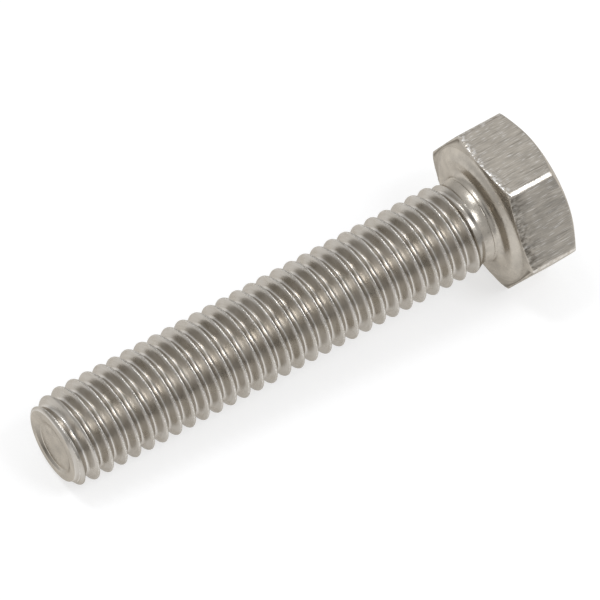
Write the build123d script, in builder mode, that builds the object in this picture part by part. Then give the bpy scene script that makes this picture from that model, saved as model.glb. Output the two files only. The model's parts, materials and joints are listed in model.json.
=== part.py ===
# Hex head set screw: metric coarse thread run up to the head, one solid piece of stainless steel.
# It is drawn upright with its tip at z = 0, then laid down as it comes to rest on a table.
from build123d import *
from math import atan2, ceil, cos, degrees, radians, tan
import os

os.makedirs("parts", exist_ok=True)

# Shank and thread, in millimetres and degrees
thread_diameter = 4.9
thread_pitch = 0.8
shank_length = 25
crest_width = 0.16
flank_angle = 30
first_root_height = 0.12

# Plain neck between the last thread and the head
neck_diameter = 4.48
neck_length = 0.75
runout_angle = 50
underhead_radius = 0.4

# End of the shank: a turned lead, a rounded lip and a dished face
end_face_radius = 2.06
lead_length = 0.74
lead_angle = 25
crown_length = 0.8
lip_radius = 0.07
dish_radius = 1.6
dish_depth = 0.15
dish_wall_angle = 42

# Hexagon head, with a raised washer face
head_sides = 6
across_flats = 7.76
head_height = 3.35
corner_radius = 0.12
top_flat_inset = 0.19
top_chamfer_angle = 30
washer_diameter = 6.16
washer_rim_height = 0.42
washer_rim_angle = 43


def slope(angle):
    return tan(radians(angle))


# Sizes that follow from those above
thread_radius = thread_diameter / 2
neck_radius = neck_diameter / 2
half_flats = across_flats / 2
flat_to_corner = 180 / head_sides
corner_reach = half_flats / cos(radians(flat_to_corner))
head_top = shank_length + head_height
top_flat_radius = half_flats - top_flat_inset
washer_radius = washer_diameter / 2
thread_end = shank_length - neck_length
step_length = (thread_radius - neck_radius) / slope(runout_angle)
lead_end_radius = end_face_radius + lead_length * slope(lead_angle)
crown_end = lead_length + crown_length
crown_slope = (thread_radius - lead_end_radius) / crown_length
dish_floor_radius = dish_radius - dish_depth * slope(dish_wall_angle)
rim_foot_radius = washer_radius + washer_rim_height * slope(washer_rim_angle)
rim_foot_level = shank_length + washer_rim_height


def top_chamfer_level(radius):
    return head_top - (radius - top_flat_radius) * slope(top_chamfer_angle)


# The groove starts one turn below the end face and ends where the neck begins
# Its helix is drawn in short pieces, each a little over half a turn
groove_overcut = 0.1
longest_piece_turns = 0.6
groove_start = first_root_height - thread_pitch
groove_end = thread_end - step_length
groove_turns = (groove_end - groove_start) / thread_pitch
path_pieces = ceil(groove_turns / longest_piece_turns)
piece_turns = groove_turns / path_pieces
groove_half_width = (thread_pitch - crest_width) / 2
root_radius = thread_radius - groove_half_width / slope(flank_angle)
mouth_radius = thread_radius + groove_overcut
mouth_half_width = groove_half_width + groove_overcut * slope(flank_angle)

with BuildPart() as upright_screw:
    # Turned and headed blank: the half section goes round the axis
    with BuildSketch(Plane.XZ) as blank:
        with BuildLine():
            Polyline(
                (0, dish_depth),
                (dish_floor_radius, dish_depth),
                (dish_radius, 0),
                (end_face_radius, 0),
                (lead_end_radius, lead_length),
                (thread_radius, crown_end),
                (thread_radius, thread_end - step_length),
                (neck_radius, thread_end),
                (neck_radius, shank_length),
                (washer_radius, shank_length),
                (rim_foot_radius, rim_foot_level),
                (corner_reach, rim_foot_level),
                (corner_reach, top_chamfer_level(corner_reach)),
                (top_flat_radius, head_top),
                (0, head_top),
                close=True,
            )
        make_face()
        fillet(blank.vertices().sort_by_distance((neck_radius, shank_length))[0], underhead_radius)
        fillet(blank.vertices().group_by(Axis.Y)[0], lip_radius)
    revolve(axis=Axis.Z)

    # Hexagon: one prism trims the round head, and clears the slimmer shank
    with BuildSketch() as hexagon:
        RegularPolygon(half_flats, head_sides, major_radius=False, rotation=flat_to_corner)
        fillet(hexagon.vertices(), corner_radius)
    extrude(amount=head_top, mode=Mode.INTERSECT)

    # Thread: one right-hand groove
    arc_of_helix = Edge.make_helix(thread_pitch, piece_turns * thread_pitch, thread_radius)
    path = []
    for piece in range(path_pieces):
        turns = piece * piece_turns
        foot = (0, 0, groove_start + turns * thread_pitch)
        path.append(arc_of_helix.moved(Location(foot, (0, 0, 1), 360 * turns)))
    with BuildSketch(Plane.XZ):
        with BuildLine():
            Polyline(
                (root_radius, groove_start),
                (mouth_radius, groove_start + mouth_half_width),
                (mouth_radius, groove_start - mouth_half_width),
                close=True,
            )
        make_face()
    sweep(path=Wire(path), is_frenet=True, mode=Mode.SUBTRACT)


# At rest the head stands on the edge of one flat, and the shank on its lowest crest by the tip
def crest_radius(level):
    lead = end_face_radius + level * slope(lead_angle)
    crown = lead_end_radius + (level - lead_length) * crown_slope
    return min(lead, crown, thread_radius)


first_crest_height = first_root_height + thread_pitch / 2
crest_count = int((groove_end - first_crest_height) / thread_pitch)
rest_tilts = []
for turn in range(crest_count):
    for crest_edge in (-crest_width / 2, crest_width / 2):
        level = first_crest_height + turn * thread_pitch + crest_edge
        drop = half_flats - crest_radius(level)
        rest_tilts.append(atan2(drop, rim_foot_level - level))
rest_tilt = degrees(min(rest_tilts))

# The origin is under the middle of the screw, on the surface that it lies on
lying_screw = upright_screw.part.rotate(Axis.Y, 90 - rest_tilt)
box = lying_screw.bounding_box()
with BuildPart() as set_screw:
    with Locations((-box.center().X, -box.center().Y, -box.min.Z)):
        add(lying_screw)

set_screw.part.label = "set_screw"
export_step(set_screw.part, "parts/set_screw.step")
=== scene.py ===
# Looks of the hex head set screw: rolled thread, headed hexagon and satin stainless steel.
# Sizes are in metres. The screw is drawn upright with its tip at z = 0, then laid down where the
# frame has it.
import json
import math
from collections import namedtuple
from contextlib import contextmanager

import bmesh
import bpy
from mathutils import Matrix, Vector, noise


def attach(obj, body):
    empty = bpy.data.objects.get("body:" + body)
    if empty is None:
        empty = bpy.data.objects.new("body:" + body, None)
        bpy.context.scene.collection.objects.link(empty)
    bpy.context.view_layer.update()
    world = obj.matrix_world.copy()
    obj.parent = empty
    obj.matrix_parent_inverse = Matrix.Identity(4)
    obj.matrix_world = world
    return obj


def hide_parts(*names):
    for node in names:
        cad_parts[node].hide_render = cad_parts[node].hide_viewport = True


bl_info = {
    "name": "Hex head set screw",
    "version": (1, 0, 0),
    "blender": (4, 5, 0),
    "location": "View3D > Sidebar > Set screw",
    "description": "Builds the visual model of a fully threaded hexagon head screw and its studio",
    "category": "Object",
}

MM = 0.001
MERGE_DISTANCE = 0.0004 * MM
SHARP_ANGLE = math.radians(35)

# Thread: its flanks, the turns over which its groove runs out, and its blend into the outline
FLANK_ANGLE = math.radians(30)
RUNOUT_TURNS = 0.6
OUTLINE_BLEND = 0.03 * MM

# Ridges: their share of full size at the end face, what the swell adds to it, and the height
# where they are full. The swell ends where the cosine of the turn away from it is this
RIDGE_SHARE = 0.35
SWOLLEN_SHARE = 0.35
GROWN_HEIGHT = 1.2 * MM
SWELL_EDGE = 0.1

# The thread's grid starts this many turns below the end face. Its rows crowd on crests and roots
SPARE_TURNS = 2
ROW_CROWDING = 0.6

# Heights on the lip between which bare metal shows: starts, is full, starts to fade, ends
LIP_LINE = (0.08 * MM, 0.14 * MM, 0.18 * MM, 0.24 * MM)

# Rings of the end face: flat ones outside the dish, shares of the way down the dish's wall, and
# shares of the floor's radius. A painted shadow lies between two of the wall's shares
FACE_FLATS = (0.22 * MM, 0.03 * MM)
DISH_WALL_SHARES = (0.0, 0.15, 0.3, 0.5, 0.7, 0.85, 1.0)
DISH_FLOOR_SHARES = (0.96, 0.7, 0.4, 0.15)
PAINTED_SHADOW_SHARES = (0.1, 0.8)
PAINTED_SHADOW_STRENGTH = 0.85

# Rings of the neck: height over the ring line and growth of the radius, up to the line's edge
NECK_FLARE = (
    (-0.42 * MM, 0.004 * MM), (-0.32 * MM, 0.014 * MM), (-0.22 * MM, 0.037 * MM),
    (-0.12 * MM, 0.068 * MM), (-0.06 * MM, 0.085 * MM))
RING_LINE_HEIGHTS = (-0.03 * MM, -0.01 * MM)
RING_LINE_TOP = (0.01 * MM, 0.075 * MM)
FILLET_RISE = 0.04 * MM
FILLET_STEPS = 9

# Material slots on the screw, after the thread's own
HEADED, TRIMMED = 1, 2

# Hexagon: points on a worn edge, its bulge, and how close the flats' last points are to it
WORN_SHARES = (-0.6, -0.2, 0.2, 0.6)
WORN_BULGE = 0.04
FLAT_MARGIN = 0.02 * MM

# Rows of the head's surface, as shares of the way up the washer face's rim, out on the underside
# and up the flats, the last two with the marks on their points
RIM_SHARES = (0.0, 0.14, 0.3, 0.5, 0.7, 0.86, 1.0)
RIM_STRAIGHTNESS = 0.4
# The underside's rows carry painted shade, more of it under some sides
UNDERSIDE_ROWS = (
    (0.25, {"painted_shade": 0.5}),
    (0.5, {"painted_shade": 0.5}),
    (0.8, {"painted_shade": 0.5, "deep painted shade": 1.0, "stain": 0.3}),
)
FLAT_ROWS = (
    (0.06, {"burr": 0.62, "stain": 0.9}),
    (0.2, {"stain": 0.4}),
    (0.4, {}), (0.6, {}), (0.8, {}), (0.94, {}),
)

# Sides of the hexagon that have a burr below in place of a stain, and those with more painted
# shade
BURRED_SIDES = (0, 3)
DEEP_SHADE_SIDES = (2, 5)

# How close the head's other rows are to the fillet, to the rim and to the top chamfer, and
# their shares of the top's radius
FILLET_MARGIN = 0.05 * MM
RIM_MARGIN = 0.06 * MM
TOP_MARGIN = 0.3 * MM
TOP_SHARES = (0.66, 0.33)

# Ragged edge under the flats: marks at its foot and on it, grain of its fine and coarse parts,
# where in the noise the coarse one lies, and how much of it reaches the foot
FOOT_MARKS = {"burr": 0.7, "stain": 1.0}
EDGE_MARKS = {"burr": 1.0, "stain": 1.0}
FINE_GRAIN = 0.16 * MM
COARSE_GRAIN = 0.5 * MM
COARSE_PLACE = 0.3 * MM
RAGGED_FOOT = 0.3

# Soft lamps: direction as seen from the screw, width, length and radiance
LAMPS = {
    "softbox_overhead": ((-0.24, 0.25, 0.94), 0.09, 0.2, 11.0),
    "softbox_front": ((0.285, -0.475, 0.835), 0.17, 0.2, 6.8),
    "softbox_right": ((0.62, -0.39, 0.68), 0.24, 0.24, 1.0),
}
LAMP_DISTANCE = 0.6

# Brightness of the floor by the screw, paper and glow together
FLOOR_WHITE = 1.1

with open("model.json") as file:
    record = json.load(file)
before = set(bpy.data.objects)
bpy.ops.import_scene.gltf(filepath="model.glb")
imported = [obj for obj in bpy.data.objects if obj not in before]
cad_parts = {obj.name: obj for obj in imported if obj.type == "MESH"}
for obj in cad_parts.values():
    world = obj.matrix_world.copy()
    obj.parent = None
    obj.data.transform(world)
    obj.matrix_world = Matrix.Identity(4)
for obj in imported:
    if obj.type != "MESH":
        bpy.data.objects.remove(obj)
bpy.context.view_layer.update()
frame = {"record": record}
mounts = {mount["name"]: mount for mount in frame["record"]["mounts"]}
tip_place = Vector(mounts["point"]["pos_m"])
screw_axis = -Vector(mounts["point"]["axis"])
rest_tilt = math.asin(screw_axis.z)


class ThreadSizes(bpy.types.PropertyGroup):
    """Rolled thread, from the tip to the plain neck."""

    pitch: bpy.props.FloatProperty(
        name="Pitch", description="Height of one turn", default=0.8 * MM, unit="LENGTH")
    crest_radius: bpy.props.FloatProperty(
        name="Crest radius", description="Radius over the crests",
        default=2.45 * MM, unit="LENGTH")
    root_radius: bpy.props.FloatProperty(
        name="Root radius", description="Radius at the bottom of the groove",
        default=1.95 * MM, unit="LENGTH")
    crest_width: bpy.props.FloatProperty(
        name="Crest width", description="Width of the flat crest",
        default=0.09 * MM, unit="LENGTH")
    crest_rounding: bpy.props.FloatProperty(
        name="Crest rounding", description="Blend between crest and flank",
        default=0.08 * MM, unit="LENGTH")
    root_rounding: bpy.props.FloatProperty(
        name="Root rounding", description="Blend between the two flanks",
        default=0.2 * MM, unit="LENGTH")
    first_root: bpy.props.FloatProperty(
        name="First root", description="Height of the first root over the end face",
        default=0.12 * MM, unit="LENGTH")
    groove_turns: bpy.props.FloatProperty(
        name="Groove turns", description="Turns after which the groove has run out", default=29.94)
    columns: bpy.props.IntProperty(
        name="Columns", description="Faces round the shank", default=120, min=24)
    rows: bpy.props.IntProperty(
        name="Rows", description="Faces across one pitch", default=16, min=8)


class ShankSizes(bpy.types.PropertyGroup):
    """Outline that the thread is cut into, from the end face to the plain neck."""

    end_radius: bpy.props.FloatProperty(
        name="End radius", description="Radius of the end face",
        default=2.06 * MM, unit="LENGTH")
    swell: bpy.props.FloatProperty(
        name="Swell", description="Growth of the end face where the first ridge runs out into it",
        default=0.2 * MM, unit="LENGTH")
    swell_turn: bpy.props.FloatProperty(
        name="Swell turn", description="Direction of that growth round the axis",
        default=math.radians(265), subtype="ANGLE")
    lip_radius: bpy.props.FloatProperty(
        name="Lip radius", description="Rounding of the end face's edge",
        default=0.13 * MM, unit="LENGTH")
    lip_height: bpy.props.FloatProperty(
        name="Lip height", description="Height of the finely divided lip",
        default=0.2 * MM, unit="LENGTH")
    lead_radius: bpy.props.FloatProperty(
        name="Lead radius", description="Radius where the lead ends",
        default=2.405 * MM, unit="LENGTH")
    lead_length: bpy.props.FloatProperty(
        name="Lead length", description="Height of the lead",
        default=0.74 * MM, unit="LENGTH")
    crown_length: bpy.props.FloatProperty(
        name="Crown length", description="Height over which the crests reach full size",
        default=0.8 * MM, unit="LENGTH")
    runout_start: bpy.props.FloatProperty(
        name="Run-out start", description="Height where the crests start to fall to the neck",
        default=23.5 * MM, unit="LENGTH")
    neck_start: bpy.props.FloatProperty(
        name="Neck start", description="Height where the plain neck starts",
        default=24.08 * MM, unit="LENGTH")
    neck_radius: bpy.props.FloatProperty(
        name="Neck radius", description="Radius of the plain neck",
        default=2.22 * MM, unit="LENGTH")


class EndSizes(bpy.types.PropertyGroup):
    """Dished end face, and the neck's ring line and fillet under the head."""

    dish_radius: bpy.props.FloatProperty(
        name="Dish radius", description="Radius of the dished end",
        default=1.62 * MM, unit="LENGTH")
    dish_floor_radius: bpy.props.FloatProperty(
        name="Dish floor radius", description="Radius of the dish's flat floor",
        default=1.2 * MM, unit="LENGTH")
    dish_depth: bpy.props.FloatProperty(
        name="Dish depth", description="Depth of the dished end",
        default=0.15 * MM, unit="LENGTH")
    dish_shift: bpy.props.FloatProperty(
        name="Dish shift", description="How far the dish's floor lies off centre",
        default=0.25 * MM, unit="LENGTH")
    dish_turn: bpy.props.FloatProperty(
        name="Dish turn", description="Direction of that shift round the axis",
        default=math.radians(4), subtype="ANGLE")
    # Painted shadow in the dish: the side of the wall that it darkens
    painted_shadow_turn: bpy.props.FloatProperty(
        name="Painted shadow turn", description="Direction of the painted shadow on the dish's wall",
        default=math.radians(42), subtype="ANGLE")
    fillet_start: bpy.props.FloatProperty(
        name="Fillet start", description="Height of the ring line where the neck ends",
        default=24.6 * MM, unit="LENGTH")
    ring_depth: bpy.props.FloatProperty(
        name="Ring depth", description="Depth of that ring line",
        default=0.03 * MM, unit="LENGTH")
    fillet_reach: bpy.props.FloatProperty(
        name="Fillet reach", description="Radius where the fillet meets the bearing face",
        default=2.62 * MM, unit="LENGTH")


class HeadSizes(bpy.types.PropertyGroup):
    """Hexagon head with its raised washer face."""

    bearing_height: bpy.props.FloatProperty(
        name="Bearing height", description="Height of the washer face",
        default=24.93 * MM, unit="LENGTH")
    top_height: bpy.props.FloatProperty(
        name="Top height", description="Height of the head's top",
        default=28.35 * MM, unit="LENGTH")
    across_flats: bpy.props.FloatProperty(
        name="Across flats", description="Width of the hexagon",
        default=7.76 * MM, unit="LENGTH")
    worn_edge: bpy.props.FloatProperty(
        name="Worn edge", description="Width of the six worn edges between the flats",
        default=0.27 * MM, unit="LENGTH")
    washer_radius: bpy.props.FloatProperty(
        name="Washer radius", description="Radius of the washer face",
        default=3.13 * MM, unit="LENGTH")
    rim_radius: bpy.props.FloatProperty(
        name="Rim radius", description="Radius at the foot of the washer face's rim",
        default=3.66 * MM, unit="LENGTH")
    rim_height: bpy.props.FloatProperty(
        name="Rim height", description="Height of the washer face's rim",
        default=0.3 * MM, unit="LENGTH")
    underside_lean: bpy.props.FloatProperty(
        name="Underside lean", description="How far the underside falls away to the corners",
        default=math.radians(8), subtype="ANGLE")
    corner_drop: bpy.props.FloatProperty(
        name="Corner drop", description="Rounding of the corners on the underside",
        default=0.1 * MM, unit="LENGTH")
    top_flat_radius: bpy.props.FloatProperty(
        name="Top flat radius", description="Radius inside the top chamfer",
        default=3.69 * MM, unit="LENGTH")
    chamfer_angle: bpy.props.FloatProperty(
        name="Chamfer angle", description="Lean of the top chamfer",
        default=math.radians(30), subtype="ANGLE")
    edge_break: bpy.props.FloatProperty(
        name="Edge break", description="Width of the broken edges under and over the flats",
        default=0.035 * MM, unit="LENGTH")
    burr: bpy.props.FloatProperty(
        name="Burr", description="Height of the ragged burr under the flats",
        default=0.04 * MM, unit="LENGTH")
    flat_columns: bpy.props.IntProperty(
        name="Flat columns", description="Faces across one flat", default=44, min=4)


class SteelFinish(bpy.types.PropertyGroup):
    """Colours and roughness of the bare stainless steel."""

    dark: bpy.props.FloatVectorProperty(
        name="Dark", description="Steel in the deeper marks",
        default=(0.45, 0.417, 0.368), subtype="COLOR")
    light: bpy.props.FloatVectorProperty(
        name="Light", description="Clean steel of the thread",
        default=(0.56, 0.53, 0.487), subtype="COLOR")
    warm: bpy.props.FloatVectorProperty(
        name="Warm", description="Steel of the head, a little tarnished",
        default=(0.575, 0.53, 0.464), subtype="COLOR")
    # The stain colour also serves for the painted shade in the dish and under the head
    stain: bpy.props.FloatVectorProperty(
        name="Stain", description="Oil left along the trimmed edges, and painted shade in the dish and under the head",
        default=(0.16, 0.14, 0.115), subtype="COLOR")
    fresh: bpy.props.FloatVectorProperty(
        name="Fresh", description="Bare metal on burrs and scratches",
        default=(0.94, 0.92, 0.89), subtype="COLOR")
    grazing: bpy.props.FloatVectorProperty(
        name="Grazing", description="Tint of what the steel mirrors at a grazing angle",
        default=(0.72, 0.69, 0.65), subtype="COLOR")
    roughness: bpy.props.FloatProperty(
        name="Roughness", description="Roughness of the rolled thread",
        default=0.27, min=0, max=1)


class StudioSettings(bpy.types.PropertyGroup):
    """Camera, lamps and floor."""

    target: bpy.props.FloatVectorProperty(
        name="Target", description="Point in the middle of the picture",
        default=(0.0566 * MM, -0.2353 * MM, 4.58 * MM), subtype="TRANSLATION")
    azimuth: bpy.props.FloatProperty(
        name="Azimuth", description="Direction of the camera round the screw",
        default=math.radians(-37.515), subtype="ANGLE")
    elevation: bpy.props.FloatProperty(
        name="Elevation", description="Height of the camera over the floor",
        default=math.radians(51.79), subtype="ANGLE")
    roll: bpy.props.FloatProperty(
        name="Roll", description="Lean of the camera",
        default=math.radians(4.56), subtype="ANGLE")
    distance: bpy.props.FloatProperty(
        name="Distance", description="From the camera to the target",
        default=591 * MM, unit="LENGTH")
    lens: bpy.props.FloatProperty(
        name="Lens", description="Focal length in millimetres", default=723.7)
    lamp_colour: bpy.props.FloatVectorProperty(
        name="Lamp colour", description="Colour of the three soft lamps",
        default=(0.97, 0.99, 1.03), subtype="COLOR")
    floor_shade: bpy.props.FloatProperty(
        name="Floor shade", description="How strongly the floor takes light and shadow",
        default=0.48, min=0, max=1)


class Flow:
    """A number or colour that flows through a node tree. Arithmetic on it adds Math nodes."""

    def __init__(self, socket):
        self.socket = socket
        self.tree = socket.id_data

    def __add__(self, other):
        return calc("ADD", self, other)

    def __sub__(self, other):
        return calc("SUBTRACT", self, other)

    def __rsub__(self, other):
        return calc("SUBTRACT", other, self)

    def __mul__(self, other):
        return calc("MULTIPLY", self, other)

    def __truediv__(self, other):
        return calc("DIVIDE", self, other)


def plug(value, socket):
    """Links a flow into a socket, or sets the socket to a plain value."""
    if isinstance(value, Flow):
        socket.id_data.links.new(value.socket, socket)
    else:
        socket.default_value = value


def calc(operation, *values):
    """Adds a Math node for the values, of which at least one is a flow."""
    tree = next(value.tree for value in values if isinstance(value, Flow))
    maths = tree.nodes.new("ShaderNodeMath")
    maths.operation = operation
    for value, socket in zip(values, maths.inputs):
        plug(value, socket)
    return Flow(maths.outputs[0])


def ramp(value, start, end, low, high, easing="LINEAR"):
    """Maps a flow from one range to another and stops at its ends."""
    mapping = value.tree.nodes.new("ShaderNodeMapRange")
    mapping.interpolation_type = easing
    for number, socket in zip((value, start, end, low, high), mapping.inputs):
        plug(number, socket)
    return Flow(mapping.outputs[0])


def mask(value, start, end, strength=1.0):
    """0 before the start, and from there up to a strength at the end."""
    return ramp(value, start, end, 0.0, strength)


def feed(source, kind):
    """Adds a node of a kind and links a socket to its first input."""
    node = source.id_data.nodes.new(kind)
    source.id_data.links.new(source, node.inputs[0])
    return node


def split(vector):
    """Flows for the three numbers of a vector socket."""
    return [Flow(number) for number in feed(vector, "ShaderNodeSeparateXYZ").outputs]


def level_distance(x, y):
    """Distance of a point from the middle, seen from above."""
    return calc("SQRT", x * x + y * y)


def settings_of(group):
    """Each number and colour of a property group, with its key."""
    return [
        (key, declared) for key, declared in group.bl_rna.properties.items()
        if declared.type in {"FLOAT", "INT"}
    ]


def group_inputs(tree, groups):
    """Gives a Geometry Nodes tree one named input for each number of the property groups.

    Returns the inputs' flows by key, and each input's identifier with its value.
    """
    values = {}
    for group in groups:
        for key, declared in settings_of(group):
            kind = "NodeSocketInt" if declared.type == "INT" else "NodeSocketFloat"
            socket = tree.interface.new_socket(declared.name, in_out="INPUT", socket_type=kind)
            values[key] = (socket.identifier, getattr(group, key))
    entry = tree.nodes.new("NodeGroupInput")
    flows = {key: Flow(entry.outputs[place]) for place, key in enumerate(values)}
    return flows, list(values.values())


def place_on_screw(tree, sizes, column, height):
    """Position of the thread's surface at a column, in turns, and a height."""
    crest, root = sizes["crest_radius"], sizes["root_radius"]
    angle = column * math.tau
    swollen = calc("COSINE", angle - sizes["swell_turn"])
    swollen = ramp(swollen, SWELL_EDGE, 1.0, 0.0, 1.0, "SMOOTHSTEP")

    # Groove: the ridge between two turns, down to a floor that rises where the groove runs out
    turns_up = (height - sizes["first_root"]) / sizes["pitch"] - column
    from_crest = calc("ABSOLUTE", calc("FRACT", turns_up) - 0.5) * sizes["pitch"]
    root_turn = calc("FLOOR", turns_up + 0.5) + column
    last_turn = sizes["groove_turns"]
    cut = ramp(root_turn, last_turn - RUNOUT_TURNS, last_turn, 1.0, 0.0, "SMOOTHSTEP")
    flank = crest + (sizes["crest_width"] * 0.5 - from_crest) / math.tan(FLANK_ANGLE)
    ridge = calc("SMOOTH_MIN", flank, crest, sizes["crest_rounding"])
    floor = crest - (crest - root) * cut
    groove = calc("SMOOTH_MAX", ridge, floor, sizes["root_rounding"])
    start = swollen * SWOLLEN_SHARE + RIDGE_SHARE
    grown = ramp(height, 0.0, GROWN_HEIGHT, start, 1.0)
    groove = floor + (groove - floor) * grown

    # Outline: lead, crown, rounded lip and run-out to the neck
    end = sizes["end_radius"] + sizes["swell"] * swollen
    lead_radius, lead_length = sizes["lead_radius"], sizes["lead_length"]
    lead = ramp(height, 0.0, lead_length, end, lead_radius)
    crown_end = lead_length + sizes["crown_length"]
    crown = ramp(height, lead_length, crown_end, 0.0, crest - lead_radius)
    lip_radius = sizes["lip_radius"]
    to_lip = calc("MAXIMUM", lip_radius - height, 0.0)
    lip = lip_radius - calc("SQRT", lip_radius * lip_radius - to_lip * to_lip)
    fall = crest - sizes["neck_radius"]
    runout = ramp(height, sizes["runout_start"], sizes["neck_start"], 0.0, fall, "SMOOTHSTEP")
    outline = lead + crown - lip - runout

    radius = calc("SMOOTH_MIN", groove, outline, OUTLINE_BLEND)
    spot = tree.nodes.new("ShaderNodeCombineXYZ")
    plug(radius * calc("COSINE", angle), spot.inputs[0])
    plug(radius * calc("SINE", angle), spot.inputs[1])
    plug(height, spot.inputs[2])
    return spot.outputs[0]


def unit_grid(tree, across, around):
    """A flat grid, with flows for the numbers of each point's row and step."""
    grid = tree.nodes.new("GeometryNodeMeshGrid")
    plug(across + 1, grid.inputs["Vertices X"])
    plug(around + 1, grid.inputs["Vertices Y"])
    x, y, _ = split(tree.nodes.new("GeometryNodeInputPosition").outputs[0])
    row = calc("ROUND", (x + 0.5) * across)
    step = calc("ROUND", (y + 0.5) * around)
    return grid.outputs[0], row, step


def column_of(step, columns):
    """Place of a step round the screw, in turns from 0 to 1."""
    return (step - calc("FLOOR", (step + 0.5) / columns) * columns) / columns


def moved(tree, mesh, position):
    """The mesh with every point set to a position."""
    mover = feed(mesh, "GeometryNodeSetPosition")
    tree.links.new(position, mover.inputs["Position"])
    return mover.outputs[0]


def thread_rule(groups, steel):
    """Geometry Nodes tree of the threaded shank, with the values for its inputs."""
    tree = bpy.data.node_groups.new("thread_rule", "GeometryNodeTree")
    sizes, values = group_inputs(tree, groups)
    tree.interface.new_socket("Geometry", in_out="OUTPUT", socket_type="NodeSocketGeometry")
    pitch, rows, columns = sizes["pitch"], sizes["rows"], sizes["columns"]

    # Thread: each row is lifted along the helix and stops at the lip and at the neck
    turns = calc("CEIL", sizes["neck_start"] / pitch + SPARE_TURNS)
    grid, row, step = unit_grid(tree, rows, turns * columns)
    across = row / rows
    wave = 2 * math.tau
    crowded = across - calc("SINE", across * wave) * (ROW_CROWDING / wave)
    climb = step / columns + crowded - SPARE_TURNS
    height = calc("MAXIMUM", sizes["first_root"] + climb * pitch, sizes["lip_height"])
    height = calc("MINIMUM", height, sizes["neck_start"])
    place = place_on_screw(tree, sizes, column_of(step, columns), height)
    thread = moved(tree, grid, place)

    # Lip of the end face: level rows that crowd towards the edge
    grid, row, step = unit_grid(tree, rows, columns)
    rise = row / rows
    height = rise * rise * sizes["lip_height"]
    place = place_on_screw(tree, sizes, column_of(step, columns), height)
    lip = moved(tree, grid, place)

    join = feed(thread, "GeometryNodeJoinGeometry")
    tree.links.new(lip, join.inputs[0])
    merge = feed(join.outputs[0], "GeometryNodeMergeByDistance")
    merge.inputs["Distance"].default_value = MERGE_DISTANCE

    # The crests, roots and lip are marked on the points for the steel
    x, y, z = split(tree.nodes.new("GeometryNodeInputPosition").outputs[0])
    starts, full, fades, ends = LIP_LINE
    lip_line = ramp(z, starts, full, 0.0, 1.0) * ramp(z, fades, ends, 1.0, 0.0)
    crest = ramp(level_distance(x, y), sizes["root_radius"], sizes["crest_radius"], 0.0, 1.0)
    store = feed(merge.outputs[0], "GeometryNodeStoreNamedAttribute")
    store.inputs["Name"].default_value = "ridge"
    plug(calc("MAXIMUM", lip_line, crest), store.inputs["Value"])

    realize = feed(store.outputs[0], "GeometryNodeRealizeInstances")
    finish = feed(realize.outputs[0], "GeometryNodeSetMaterial")
    finish.inputs["Material"].default_value = steel
    feed(finish.outputs[0], "NodeGroupOutput")
    return tree, values


def add_object(name, data):
    """An object of some data, linked into the scene."""
    made = bpy.data.objects.new(name, data)
    bpy.context.scene.collection.objects.link(made)
    return made


def plain_mesh(holder):
    """The evaluated mesh of an object, after which its modifiers and the object are removed."""
    graph = bpy.context.evaluated_depsgraph_get()
    mesh = bpy.data.meshes.new_from_object(holder.evaluated_get(graph))
    holder.modifiers.clear()
    bpy.data.objects.remove(holder)
    return mesh


@contextmanager
def edited(mesh):
    """Opens a mesh for editing, and writes it back unless an error stops the work."""
    shape = bmesh.new()
    try:
        shape.from_mesh(mesh)
        yield shape
        shape.to_mesh(mesh)
    finally:
        shape.free()


def turn_of(spot):
    """Direction of a point round the axis."""
    return math.atan2(spot.y, spot.x) % math.tau


def direction(turn):
    """Level direction at a turn round the axis."""
    return Vector((math.cos(turn), math.sin(turn)))


def open_ring(shape, height):
    """Points of the open edge at a height, in order round the axis."""
    points = {
        point for edge in shape.edges if edge.is_boundary for point in edge.verts
        if abs(point.co.z - height) < MERGE_DISTANCE
    }
    return sorted(points, key=lambda point: turn_of(point.co))


def level_ring(shape, like, radius, height, middle=(0, 0)):
    """A round ring of evenly spaced points, as many as another ring has and in step with it."""
    first = math.atan2(like[0].co.y, like[0].co.x)
    ring = []
    for place in range(len(like)):
        angle = first + math.tau * place / len(like)
        x = middle[0] + radius * math.cos(angle)
        y = middle[1] + radius * math.sin(angle)
        ring.append(shape.verts.new((x, y, height)))
    return ring


def stitch(shape, lower, upper, finish):
    """Faces between two rings of as many points."""
    for here in range(len(lower)):
        there = (here + 1) % len(lower)
        face = shape.faces.new((lower[here], lower[there], upper[there], upper[here]))
        face.material_index = finish


def close_ring(shape, ring, height, finish, middle=(0, 0)):
    """A fan of faces from a ring to a point inside it."""
    hub = shape.verts.new((*middle, height))
    for here in range(len(ring)):
        face = shape.faces.new((ring[here], ring[(here + 1) % len(ring)], hub))
        face.material_index = finish


def lace(shape, inner, outer, finish):
    """Triangles between two rings whose points differ in number, in step round the axis."""
    def turn(ring, place):
        """Turn of a ring's point, which goes on growing after one round."""
        first = turn_of(ring[0].co)
        point = ring[place % len(ring)].co
        past_first = (math.atan2(point.y, point.x) - first) % math.tau
        return past_first + first + math.tau * (place >= len(ring))

    here, there = 0, 0
    while here < len(inner) or there < len(outer):
        a, b = inner[here % len(inner)], outer[there % len(outer)]
        if there == len(outer):
            step_in = True
        else:
            step_in = here < len(inner) and turn(inner, here + 1) <= turn(outer, there + 1)
        if step_in:
            here += 1
            corners = (a, inner[here % len(inner)], b)
        else:
            there += 1
            corners = (a, outer[there % len(outer)], b)
        face = shape.faces.new(corners)
        face.material_index = finish


# A point round the hexagon, and what a row of the head's surface has in one direction
OutlinePoint = namedtuple("OutlinePoint", "spot side rubbed")
Row = namedtuple("Row", "radius height finish marks")


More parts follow.
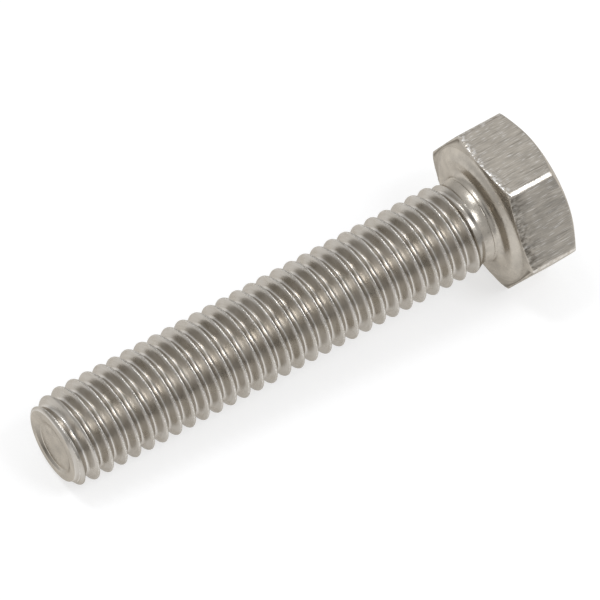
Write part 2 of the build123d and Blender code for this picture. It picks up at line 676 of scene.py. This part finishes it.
def hexagon_outline(sizes):
    """Points round the hexagon, each with its side and 1 where the edge between two is worn."""
    half = sizes.across_flats / 2
    sixth = math.tau / 6
    reach = half * math.tan(sixth / 2) - sizes.worn_edge / 2 / math.sin(sixth)
    bulge = sizes.worn_edge * WORN_BULGE
    outline = []
    for side in range(6):
        out = direction(side * sixth)
        along = Vector((-out.y, out.x))
        steps = [2 * step / sizes.flat_columns - 1 for step in range(sizes.flat_columns + 1)]
        steps.insert(1, -1 + FLAT_MARGIN / reach)
        steps.insert(-1, 1 - FLAT_MARGIN / reach)
        for step in steps:
            outline.append(OutlinePoint(out * half + along * reach * step, side, 0.0))

        facing = direction(side * sixth + sixth / 2)
        across = Vector((-facing.y, facing.x))
        to_edge = half / math.cos(sixth / 2) - sizes.worn_edge / 2 / math.tan(sixth)
        for share in WORN_SHARES:
            lift = facing * bulge * (1 - share * share)
            spot = facing * to_edge + across * sizes.worn_edge / 2 * share + lift
            outline.append(OutlinePoint(spot, side, 1.0))
    return sorted(outline, key=lambda point: turn_of(point.spot))


def head_section(sizes, inside, out):
    """Rows of the head's surface in one direction, from the bearing face up and over the top.

    The finish of a row is that of the faces between it and the next. The rows by an edge lie at
    parts of the edge break, which rounds it.
    """
    reach = out.length
    edge = sizes.edge_break
    bearing = sizes.bearing_height
    foot = sizes.rim_radius
    flat = sizes.across_flats / 2
    top = sizes.top_flat_radius

    def under(radius):
        """Height of the underside at a radius."""
        to_corner = max(0.0, (radius - flat) / (flat * (2 / math.sqrt(3) - 1)))
        lean = (radius - foot) * math.tan(sizes.underside_lean)
        return bearing + sizes.rim_height + lean + to_corner ** 3 * sizes.corner_drop

    def over(radius):
        """Height of the top chamfer at a radius."""
        return sizes.top_height - (radius - top) * math.tan(sizes.chamfer_angle)

    rough = noise.noise(Vector((out.x, out.y, 0.0)) / FINE_GRAIN) * sizes.burr
    ragged = noise.noise(Vector((out.x, out.y, COARSE_PLACE)) / COARSE_GRAIN) * sizes.burr

    # Washer face and its S-shaped rim
    places = [(inside + FILLET_MARGIN, bearing), (sizes.washer_radius - RIM_MARGIN, bearing)]
    for share in RIM_SHARES:
        curve = (1 - math.cos(share * math.pi)) * ((1 - RIM_STRAIGHTNESS) / 2)
        radius = sizes.washer_radius + (foot - sizes.washer_radius) * share
        places.append((radius, bearing + sizes.rim_height * (share * RIM_STRAIGHTNESS + curve)))
    section = [Row(*place, HEADED, {}) for place in places]

    # Underside with painted shade on its rows, up to the ragged edge that the trimming left
    radius = foot + RIM_MARGIN
    section.append(Row(radius, under(radius), HEADED, {"painted_shade": 0.5}))
    last = reach - edge
    for share, marks in UNDERSIDE_ROWS:
        radius = foot + (last - foot) * share
        section.append(Row(radius, under(radius), HEADED, marks))
    section.append(Row(last, under(last) + ragged * RAGGED_FOOT, TRIMMED, FOOT_MARKS))
    section.append(Row(reach - edge / 3, under(reach) + edge / 3 + rough, TRIMMED, EDGE_MARKS))

    # Flat side
    low = under(reach) + edge + ragged
    high = over(reach) - edge
    section.append(Row(reach - 0.01 * edge, low, TRIMMED, EDGE_MARKS))
    for share, marks in FLAT_ROWS:
        section.append(Row(reach, low + (high - low) * share, TRIMMED, marks))

    # Top chamfer and top
    half_way = (reach - edge + top) / 2
    places = [
        (reach, high), (reach - edge / 4, over(reach) - edge / 4),
        (reach - edge, over(reach - edge)), (half_way, over(half_way)),
        (top + edge / 2, over(top + edge / 2)), (top, sizes.top_height - edge * 0.12)]
    top_rows = [top - edge, top - TOP_MARGIN] + [top * share for share in TOP_SHARES]
    places += [(radius, sizes.top_height) for radius in top_rows]
    return section + [Row(*place, HEADED, {}) for place in places]


class SCREW_OT_thread(bpy.types.Operator):
    """Makes the threaded shank, from its rule in Geometry Nodes"""

    bl_idname = "set_screw.thread"
    bl_label = "Threaded shank"

    def execute(self, context):
        scene = context.scene
        holder = add_object("set_screw_thread", bpy.data.meshes.new("set_screw_thread"))
        groups = (scene.screw_thread, scene.screw_shank)
        tree, values = thread_rule(groups, bpy.data.materials["rolled_steel"])
        modifier = holder.modifiers.new("thread", "NODES")
        modifier.node_group = tree
        for identifier, value in values:
            modifier[identifier] = value
        mesh = plain_mesh(holder)
        mesh.name = "set_screw_looks"
        # The holder's own mesh leaves an empty slot before the thread's
        if mesh.materials[0] is None:
            mesh.materials.pop(index=0)
        for name in ("headed_steel", "trimmed_steel"):
            mesh.materials.append(bpy.data.materials[name])
        add_object("screw_in_steel", mesh)
        return {"FINISHED"}


class SCREW_OT_ends(bpy.types.Operator):
    """Adds the dished end face, the plain neck and the fillet under the head"""

    bl_idname = "set_screw.ends"
    bl_label = "End face and neck"

    def execute(self, context):
        with edited(bpy.data.objects["screw_in_steel"].data) as shape:
            self.add_end_face(shape, context.scene.screw_ends)
            self.add_neck(shape, context.scene)
        return {"FINISHED"}

    def add_end_face(self, shape, sizes):
        """Flat ring, dish with its floor off centre, and a painted shadow on one side of the
        dish's wall.
        """
        painted_shade = shape.verts.layers.float.new("painted_shade")
        wall = sizes.dish_radius - sizes.dish_floor_radius
        shift = direction(sizes.dish_turn) * sizes.dish_shift
        shadow_side = direction(sizes.painted_shadow_turn)
        face = [(sizes.dish_radius + flat, 0.0, 0.0) for flat in FACE_FLATS]
        for share in DISH_WALL_SHARES:
            lift = (1 - math.cos(share * math.pi)) / 2
            face.append((sizes.dish_radius - wall * share, sizes.dish_depth * lift, share))
        for share in DISH_FLOOR_SHARES:
            face.append((sizes.dish_floor_radius * share, sizes.dish_depth, 1.0))

        ring = open_ring(shape, 0.0)
        for radius, height, share in face:
            inner = level_ring(shape, ring, radius, height, shift * share)
            # Painted shadow on the part of the dish's wall that faces its turn
            if PAINTED_SHADOW_SHARES[0] < share < PAINTED_SHADOW_SHARES[1]:
                for point in inner:
                    facing = point.co.xy.normalized().dot(shadow_side)
                    point[painted_shade] = PAINTED_SHADOW_STRENGTH * max(0.0, facing) ** 2
            stitch(shape, ring, inner, HEADED)
            ring = inner
        close_ring(shape, ring, sizes.dish_depth, HEADED, shift)

    def add_neck(self, shape, scene):
        """Flaring neck, the ring line and the fillet up to the bearing face."""
        sizes = scene.screw_ends
        start = sizes.fillet_start
        neck_radius = scene.screw_shank.neck_radius
        bearing = scene.screw_head.bearing_height
        neck = [(neck_radius + growth, start + rise) for rise, growth in NECK_FLARE]
        edge = neck[-1][0]
        neck += [(edge - sizes.ring_depth, start + rise) for rise in RING_LINE_HEIGHTS]
        rise, growth = RING_LINE_TOP
        neck.append((neck_radius + growth, start + rise))
        low = start + FILLET_RISE
        for step in range(1, FILLET_STEPS + 1):
            bend = math.pi / 2 * step / FILLET_STEPS
            radius = edge + (sizes.fillet_reach - edge) * (1 - math.cos(bend))
            neck.append((radius, low + (bearing - low) * math.sin(bend)))

        ring = open_ring(shape, scene.screw_shank.neck_start)
        for radius, height in neck:
            upper = level_ring(shape, ring, radius, height)
            stitch(shape, ring, upper, HEADED)
            ring = upper


class SCREW_OT_head(bpy.types.Operator):
    """Adds the hexagon head on the neck, with its washer face, chamfer and burred edges"""

    bl_idname = "set_screw.head"
    bl_label = "Hexagon head"

    def execute(self, context):
        sizes = context.scene.screw_head
        inside = context.scene.screw_ends.fillet_reach
        outline = hexagon_outline(sizes)
        sections = [head_section(sizes, inside, corner.spot) for corner in outline]
        with edited(bpy.data.objects["screw_in_steel"].data) as shape:
            layers = shape.verts.layers.float
            for name in ("burr", "stain", "worn"):
                layers.new(name)
            neck = open_ring(shape, sizes.bearing_height)
            rings = []
            for rows in zip(*sections):
                ring = []
                for corner, row in zip(outline, rows):
                    spot = corner.spot.normalized() * row.radius
                    point = shape.verts.new((spot.x, spot.y, row.height))
                    for name, strength in self.marks(corner, row.marks).items():
                        point[layers[name]] = strength
                    ring.append(point)
                rings.append(ring)
            lace(shape, neck, rings[0], HEADED)
            for row, lower, upper in zip(sections[0], rings, rings[1:]):
                stitch(shape, lower, upper, row.finish)
            close_ring(shape, rings[-1], sizes.top_height, HEADED)
        return {"FINISHED"}

    def marks(self, corner, marks):
        """Strengths of the four marks on a point of the outline, in a row with these marks."""
        found = {"worn": corner.rubbed, "painted_shade": marks.get("painted_shade", 0.0)}
        if corner.side in BURRED_SIDES:
            found["burr"] = marks.get("burr", 0.0)
        else:
            found["stain"] = marks.get("stain", 0.0) * (1 - corner.rubbed)
        # Deeper painted shade under these sides
        if corner.side in DEEP_SHADE_SIDES:
            found["painted_shade"] = marks.get("deep painted shade", found["painted_shade"])
        return found


class SCREW_OT_lay_down(bpy.types.Operator):
    """Closes the screw's surface and lays it down where the CAD screw lies"""

    bl_idname = "set_screw.lay_down"
    bl_label = "Lay down"

    def execute(self, context):
        screw = bpy.data.objects["screw_in_steel"]
        mesh = screw.data
        with edited(mesh) as shape:
            bmesh.ops.remove_doubles(shape, verts=shape.verts, dist=MERGE_DISTANCE)
            loose = [edge for edge in shape.edges if len(edge.link_faces) != 2]
            if loose:
                raise RuntimeError(f"the screw's surface is open at {len(loose)} edges")
            bmesh.ops.recalc_face_normals(shape, faces=shape.faces)
            if shape.calc_volume(signed=True) < 0:
                bmesh.ops.reverse_faces(shape, faces=shape.faces)

        across = Vector((0, 1, 0))
        down = across.cross(screw_axis)
        turn = Matrix((down, across, screw_axis)).transposed().to_4x4()
        mesh.transform(Matrix.Translation(tip_place) @ turn)
        mesh.shade_smooth()
        mesh.set_sharp_from_angle(angle=SHARP_ANGLE)
        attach(screw, "root")
        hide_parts("set_screw")
        return {"FINISHED"}


def empty_tree(owner):
    """The node tree of a material or world, with nothing in it."""
    owner.use_nodes = True
    owner.node_tree.nodes.clear()
    return owner.node_tree


def new_steel(name, finish):
    """A metal material with only a Principled shader and its output."""
    tree = empty_tree(bpy.data.materials.new(name))
    shader = tree.nodes.new("ShaderNodeBsdfPrincipled")
    shader.inputs["Metallic"].default_value = 1.0
    shader.inputs["Specular Tint"].default_value = (*finish.grazing, 1)
    feed(shader.outputs[0], "ShaderNodeOutputMaterial")
    return tree, shader


def grain(tree, along, across, seed, detail=2.0):
    """Noise whose marks are this long on the screw's axis and this wide, in millimetres."""
    place = tree.nodes.new("ShaderNodeTexCoord")
    turn = feed(place.outputs["Object"], "ShaderNodeMapping")
    turn.vector_type = "TEXTURE"
    turn.inputs["Location"].default_value = tip_place
    turn.inputs["Rotation"].default_value = (0, -rest_tilt, 0)
    turn.inputs["Scale"].default_value = (along * MM, across * MM, across * MM)
    marks = feed(turn.outputs[0], "ShaderNodeTexNoise")
    marks.noise_dimensions = "4D"
    marks.inputs["W"].default_value = seed
    marks.inputs["Scale"].default_value = 1.0
    marks.inputs["Detail"].default_value = detail
    return Flow(marks.outputs["Fac"])


def mark(tree, name):
    """What the points carry under this name."""
    attribute = tree.nodes.new("ShaderNodeAttribute")
    attribute.attribute_name = name
    return Flow(attribute.outputs["Fac"])


def tint(share, before, after):
    """Colour that goes from one to another with a share. Either may be a flow."""
    blend = share.tree.nodes.new("ShaderNodeMix")
    blend.data_type = "RGBA"
    plug(share, blend.inputs["Factor"])
    for colour, place in ((before, 6), (after, 7)):
        plug(colour if isinstance(colour, Flow) else (*colour, 1), blend.inputs[place])
    return Flow(blend.outputs[2])


def emboss(height, depth, shader):
    """Bump of a depth in millimetres on a shader."""
    bump = height.tree.nodes.new("ShaderNodeBump")
    bump.inputs["Strength"].default_value = 1.0
    bump.inputs["Distance"].default_value = depth * MM
    plug(height, bump.inputs["Height"])
    plug(Flow(bump.outputs[0]), shader.inputs["Normal"])


def roughen(value, start, end, smoother, rougher, finish, shader):
    """Roughness that follows a flow, round the finish's own."""
    spread = ramp(value, start, end, finish.roughness + smoother, finish.roughness + rougher)
    plug(spread, shader.inputs["Roughness"])


def rolled_steel(finish):
    """Satin thread, smeared round the screw by the rolling dies, with bright ragged crests."""
    tree, shader = new_steel("rolled_steel", finish)
    ridge = mark(tree, "ridge")
    crest = mask(ridge, 0.88, 0.98)
    root = ramp(ridge, 0.02, 0.2, 1.0, 0.0)
    smear = grain(tree, 0.05, 1.4, seed=1)
    cloud = grain(tree, 0.9, 0.8, seed=2, detail=4)
    specks = grain(tree, 0.05, 0.07, seed=3, detail=1)
    colour = tint(mask(smear * 0.4 + cloud * 0.6, 0.38, 0.62), finish.dark, finish.light)
    colour = tint(root * 0.35, colour, finish.fresh)
    colour = tint(mask(specks, 0.48, 0.62, 0.6) * crest, colour, finish.fresh)
    plug(colour, shader.inputs["Base Color"])
    roughen(cloud, 0.35, 0.7, -0.03, 0.1, finish, shader)
    emboss(smear * 0.1 + specks * crest, 0.016, shader)


def headed_steel(finish):
    """Forged and turned faces: neck, underside, chamfer, top and end face."""
    tree, shader = new_steel("headed_steel", finish)
    cloud = grain(tree, 0.8, 0.7, seed=5, detail=5)
    pits = grain(tree, 0.12, 0.12, seed=6, detail=3)
    # Painted shade from the points' marks: the dish wall's shadow and shade under the head
    painted_shade = mask(mark(tree, "painted_shade"), 0.0, 0.9)
    painted_shade_share = painted_shade * painted_shade * 0.75 + mask(painted_shade, 0.6, 0.95, 0.15)
    colour = tint(mask(cloud, 0.35, 0.65), finish.dark, finish.warm)
    plug(tint(painted_shade_share, colour, finish.stain), shader.inputs["Base Color"])
    roughen(pits, 0.3, 0.7, -0.02, 0.12, finish, shader)
    emboss(pits * 0.6 + cloud * 0.4, 0.006, shader)


def trimmed_steel(finish):
    """Flats of the hexagon, drawn along the axis by the trimming, burred or stained below."""
    tree, shader = new_steel("trimmed_steel", finish)
    lines = grain(tree, 1.2, 0.036, seed=7, detail=1)
    bands = grain(tree, 1.6, 0.3, seed=8)
    cloud = grain(tree, 0.5, 0.4, seed=9, detail=5)
    strokes = grain(tree, 0.45, 0.04, seed=10, detail=0)
    flecks = grain(tree, 0.16, 0.16, seed=11, detail=0)
    smudge = grain(tree, 0.3, 0.16, seed=12, detail=4)
    scores = grain(tree, 0.9, 0.05, seed=13, detail=0)
    worn = mask(mark(tree, "worn"), 0.1, 0.9)
    torn = mask(mark(tree, "burr"), 0.3, 0.9)
    stained = mask(mark(tree, "stain"), 0.1, 0.9)

    # Drawn lines, with dark scores and bright strokes
    shade = mask(lines * 0.5 + bands * 0.2 + cloud * 0.3, 0.4, 0.58)
    colour = tint(shade, finish.dark, finish.warm)
    colour = tint(mask(scores, 0.36, 0.22, 0.5), colour, finish.stain)
    colour = tint(mask(strokes, 0.6, 0.76, 0.6), colour, finish.fresh)

    # Worn edges between the flats, and the burrs and stains below
    colour = tint(worn * mask(flecks, 0.35, 0.6, 0.4), colour, finish.fresh)
    colour = tint(mask(flecks, 0.48, 0.58) * torn, colour, finish.fresh)
    colour = tint(mask(smudge, 0.4, 0.62, 0.9) * stained, colour, finish.stain)
    plug(colour, shader.inputs["Base Color"])
    roughen(bands, 0.3, 0.7, 0.02, 0.16, finish, shader)
    emboss(lines * 0.55 + cloud * 0.6 + flecks * torn * 6, 0.006, shader)


class SCREW_OT_steel(bpy.types.Operator):
    """Makes the three finishes of the bare stainless steel"""

    bl_idname = "set_screw.steel"
    bl_label = "Stainless steel"

    def execute(self, context):
        for make_finish in (rolled_steel, headed_steel, trimmed_steel):
            make_finish(context.scene.screw_finish)
        return {"FINISHED"}


def seen_directly(tree):
    """1 for what the camera, a reflection or glass sees, 0 for what lights the object."""
    path = tree.nodes.new("ShaderNodeLightPath")
    seen = Flow(path.outputs["Is Camera Ray"]) + Flow(path.outputs["Is Glossy Ray"])
    return calc("MINIMUM", seen + Flow(path.outputs["Is Transmission Ray"]), 1.0)


def add_floor(studio):
    """Pale floor that shows as white and keeps the screw's shadow."""
    mesh = bpy.data.meshes.new("floor")
    half = 3.0
    corners = [(-half, -half, 0), (half, -half, 0), (half, half, 0), (-half, half, 0)]
    mesh.from_pydata(corners, [], [(0, 1, 2, 3)])
    floor = add_object("floor", mesh)
    paper = bpy.data.materials.new("floor_paper")
    tree = empty_tree(paper)
    matt = tree.nodes.new("ShaderNodeBsdfDiffuse")
    matt.inputs["Color"].default_value = (studio.floor_shade,) * 3 + (1,)

    # Lit round the screw, and darker far away, most of all in front
    x, y, _ = split(tree.nodes.new("ShaderNodeTexCoord").outputs["Object"])
    near = ramp(level_distance(x, y), 0.03, 0.12, 1.0, 0.0, "SMOOTHSTEP")
    far = ramp(y, -0.1, 0.1, 0.2, 0.75)
    lit = near + far * (1 - near)
    glow = tree.nodes.new("ShaderNodeEmission")
    plug(seen_directly(tree) * lit * (FLOOR_WHITE - studio.floor_shade), glow.inputs["Strength"])
    both = feed(matt.outputs[0], "ShaderNodeAddShader")
    tree.links.new(glow.outputs[0], both.inputs[1])
    feed(both.outputs[0], "ShaderNodeOutputMaterial")
    mesh.materials.append(paper)


def add_surround():
    """Studio walls: pale behind and overhead, darker in front, darkest where the camera stands."""
    world = bpy.data.worlds.new("studio")
    bpy.context.scene.world = world
    tree = empty_tree(world)
    right, back, up = split(tree.nodes.new("ShaderNodeTexCoord").outputs["Generated"])
    behind = ramp(up, 0.1, 0.7, 0.62, 0.85, "SMOOTHSTEP")
    ahead = ramp(up, 0.0, 0.4, 0.25, 0.8, "SMOOTHSTEP")
    side = ramp(back, -0.35, 0.25, 0.0, 1.0, "SMOOTHSTEP")
    tip_side = ramp(right, -0.97, -0.8, 1.15, 1.0, "SMOOTHSTEP")
    towards_camera = up * 0.66 - right * 0.62 - back * 0.42
    camera_side = ramp(towards_camera, 0.9, 0.97, 1.0, 0.25, "SMOOTHSTEP")
    walls = (behind * side + ahead * (1 - side)) * tip_side * camera_side
    glow = tree.nodes.new("ShaderNodeBackground")
    plug(walls, glow.inputs["Strength"])
    feed(glow.outputs[0], "ShaderNodeOutputWorld")


def add_softbox(name, colour, towards, width, length, radiance):
    """A rectangular lamp that points at the screw. A mirror shows a radiance of 1 as white."""
    lamp = bpy.data.lights.new(name, "AREA")
    lamp.shape = "RECTANGLE"
    lamp.size = width
    lamp.size_y = length
    lamp.energy = radiance * math.pi * width * length
    lamp.color = colour
    box = add_object(name, lamp)
    towards = Vector(towards).normalized()
    box.location = towards * LAMP_DISTANCE
    box.rotation_mode = "QUATERNION"
    box.rotation_quaternion = towards.to_track_quat("Z", "Y")


def add_camera(studio):
    """Camera at the photograph's viewing angle."""
    optics = bpy.data.cameras.new("camera")
    optics.lens = studio.lens
    optics.clip_start = 0.01
    optics.clip_end = 50
    camera = add_object("camera", optics)
    level = math.cos(studio.elevation)
    back = Vector((
        math.sin(studio.azimuth) * level,
        -math.cos(studio.azimuth) * level,
        math.sin(studio.elevation)))
    camera.rotation_mode = "QUATERNION"
    camera.location = Vector(studio.target) + back * studio.distance
    lean = Matrix.Rotation(studio.roll, 3, "Z").to_quaternion()
    camera.rotation_quaternion = (-back).to_track_quat("-Z", "Y") @ lean
    bpy.context.scene.camera = camera


class SCREW_OT_studio(bpy.types.Operator):
    """Sets the floor, the studio walls, the soft lamps and the camera"""

    bl_idname = "set_screw.studio"
    bl_label = "Studio"

    def execute(self, context):
        studio = context.scene.screw_studio
        context.scene.view_settings.view_transform = "Standard"
        add_floor(studio)
        add_surround()
        for name, lamp in LAMPS.items():
            add_softbox(name, studio.lamp_colour, *lamp)
        add_camera(studio)
        return {"FINISHED"}


class SCREW_PT_panel(bpy.types.Panel):
    """Lists the steps and their sizes"""

    bl_idname = "SCREW_PT_panel"
    bl_label = "Set screw"
    bl_space_type = "VIEW_3D"
    bl_region_type = "UI"
    bl_category = "Set screw"

    def draw(self, context):
        for step in STEPS:
            self.layout.operator(step.bl_idname)
        for name in SETTINGS:
            group = getattr(context.scene, name)
            for key, _ in settings_of(group):
                self.layout.prop(group, key)


SETTINGS = {
    "screw_thread": ThreadSizes,
    "screw_shank": ShankSizes,
    "screw_ends": EndSizes,
    "screw_head": HeadSizes,
    "screw_finish": SteelFinish,
    "screw_studio": StudioSettings,
}
STEPS = (
    SCREW_OT_steel, SCREW_OT_thread, SCREW_OT_ends, SCREW_OT_head, SCREW_OT_lay_down,
    SCREW_OT_studio)


def register():
    """Registers the sizes, the steps and the panel."""
    for name, group in SETTINGS.items():
        bpy.utils.register_class(group)
        setattr(bpy.types.Scene, name, bpy.props.PointerProperty(type=group))
    for part in (*STEPS, SCREW_PT_panel):
        bpy.utils.register_class(part)


def unregister():
    """Takes them off again."""
    for part in (SCREW_PT_panel, *reversed(STEPS)):
        bpy.utils.unregister_class(part)
    for name, group in reversed(SETTINGS.items()):
        delattr(bpy.types.Scene, name)
        bpy.utils.unregister_class(group)


def main():
    """Runs every step in order."""
    register()
    bpy.ops.set_screw.steel()
    bpy.ops.set_screw.thread()
    bpy.ops.set_screw.ends()
    bpy.ops.set_screw.head()
    bpy.ops.set_screw.lay_down()
    bpy.ops.set_screw.studio()


if __name__ == "__main__":
    main()
